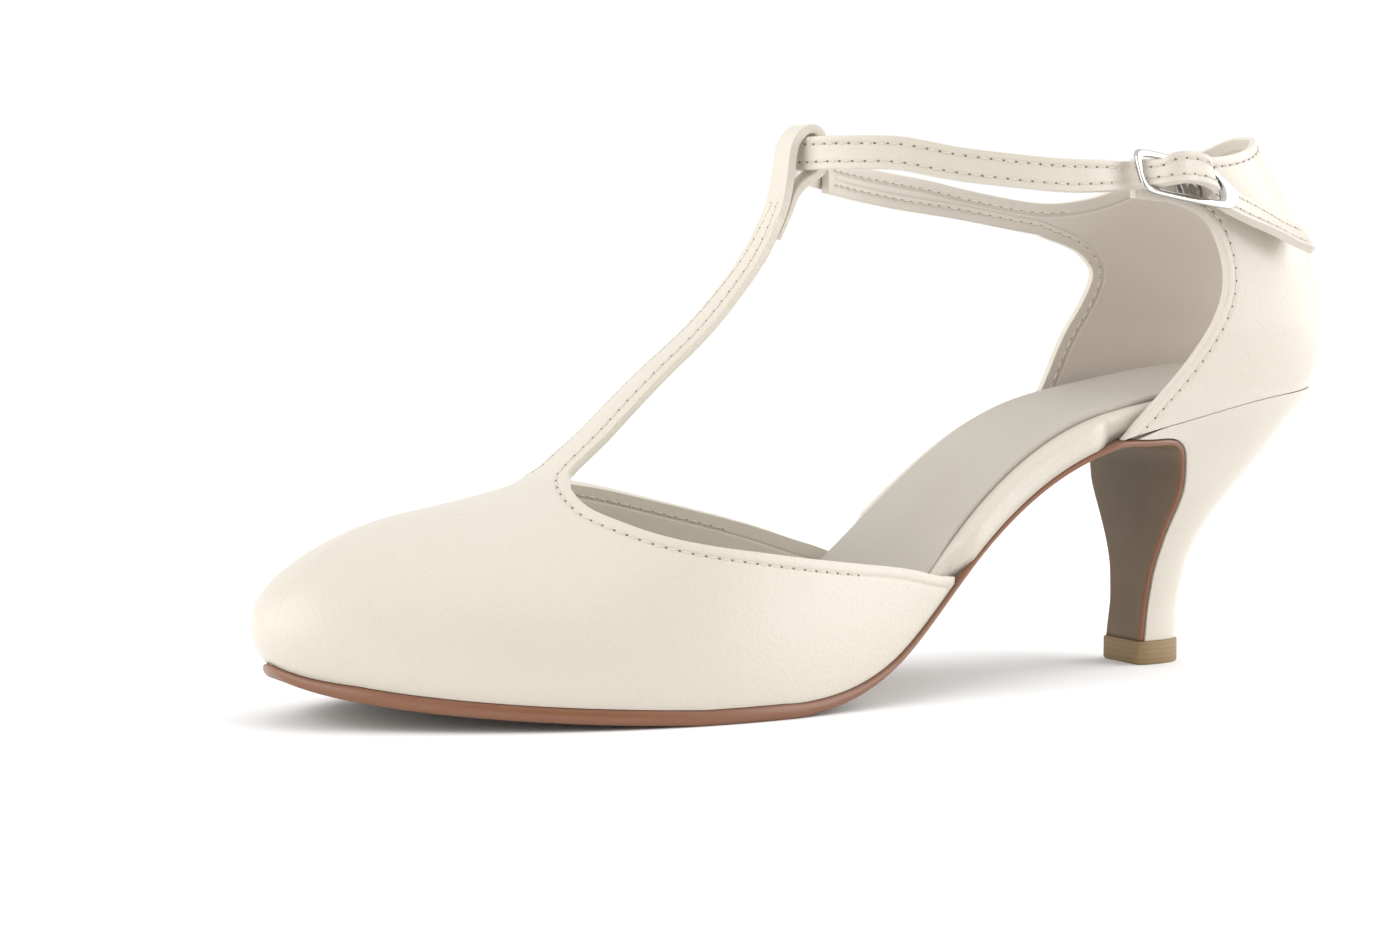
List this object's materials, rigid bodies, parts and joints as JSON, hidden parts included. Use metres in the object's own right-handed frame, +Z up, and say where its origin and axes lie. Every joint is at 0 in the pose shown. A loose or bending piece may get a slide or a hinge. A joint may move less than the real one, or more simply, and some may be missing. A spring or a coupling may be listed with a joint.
{
  "type": "t strap shoe",
  "caption": "Women's T strap shoe with a closed almond toe, open waist, closed heel counter, buckled ankle strap and flared heel; left foot.",
  "frame": {"origin": "middle of the heel tip's face on the floor", "axes": "-X towards the toe, -Y towards the outer side of the foot with the buckle, +Z up"},
  "size_m": [0.2413, 0.0771, 0.1137],
  "materials": {
    "upper_leather": "satin",
    "heel_cover": "satin",
    "sole_leather": "satin",
    "sock_lining": "matte",
    "tip_rubber": "matte",
    "buckle_metal": "polished"
  },
  "bodies": {
    "root": {"outsole": "sole_leather", "heel": "heel_cover", "top_piece": "tip_rubber", "insole_board": "upper_leather", "insole_sock": "sock_lining", "vamp": "upper_leather", "quarter": "upper_leather", "ankle_strap": "upper_leather", "buckle_frame": "buckle_metal", "buckle_plate": "buckle_metal"}
  },
  "joints": []
}
